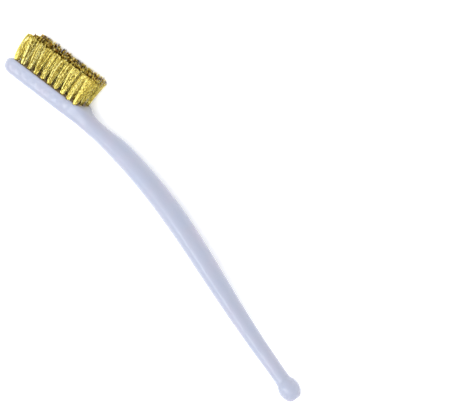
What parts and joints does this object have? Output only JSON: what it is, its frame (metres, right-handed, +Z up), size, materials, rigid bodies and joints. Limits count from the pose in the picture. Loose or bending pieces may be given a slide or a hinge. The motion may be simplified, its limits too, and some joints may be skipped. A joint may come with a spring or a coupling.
{
  "type": "wire brush",
  "caption": "Slim hand brush for cleaning club-face grooves: curved plastic handle with a ball end and a narrow head of punched brass-wire tufts.",
  "frame": {"origin": "on the surface the brush lies on, under the middle of its bounding box; the brush lies on its side", "axes": "+X along the head from its tip to the ball end, +Y the way the bristles point, +Z up, across the head"},
  "size_m": [0.1784, 0.0562, 0.0132],
  "materials": {
    "handle_plastic": "milky lavender-grey moulded polypropylene, satin gloss",
    "bristle_wire": "crimped hard-drawn brass wire, bright",
    "anchor_brass": "flat rolled brass wire"
  },
  "bodies": {
    "root": {"handle": "handle_plastic", "tuft_far_01": "bristle_wire", "tuft_far_02": "bristle_wire", "tuft_far_03": "bristle_wire", "tuft_far_04": "bristle_wire", "tuft_far_05": "bristle_wire", "tuft_far_06": "bristle_wire", "tuft_far_07": "bristle_wire", "tuft_far_08": "bristle_wire", "tuft_far_09": "bristle_wire", "tuft_far_10": "bristle_wire", "tuft_middle_01": "bristle_wire", "tuft_middle_02": "bristle_wire", "tuft_middle_03": "bristle_wire", "tuft_middle_04": "bristle_wire", "tuft_middle_05": "bristle_wire", "tuft_middle_06": "bristle_wire", "tuft_middle_07": "bristle_wire", "tuft_middle_08": "bristle_wire", "tuft_middle_09": "bristle_wire", "tuft_middle_10": "bristle_wire", "tuft_near_01": "bristle_wire", "tuft_near_02": "bristle_wire", "tuft_near_03": "bristle_wire", "tuft_near_04": "bristle_wire", "tuft_near_05": "bristle_wire", "tuft_near_06": "bristle_wire", "tuft_near_07": "bristle_wire", "tuft_near_08": "bristle_wire", "tuft_near_09": "bristle_wire", "tuft_near_10": "bristle_wire", "anchors_far_row": "anchor_brass", "anchors_middle_row": "anchor_brass", "anchors_near_row": "anchor_brass"}
  },
  "joints": []
}
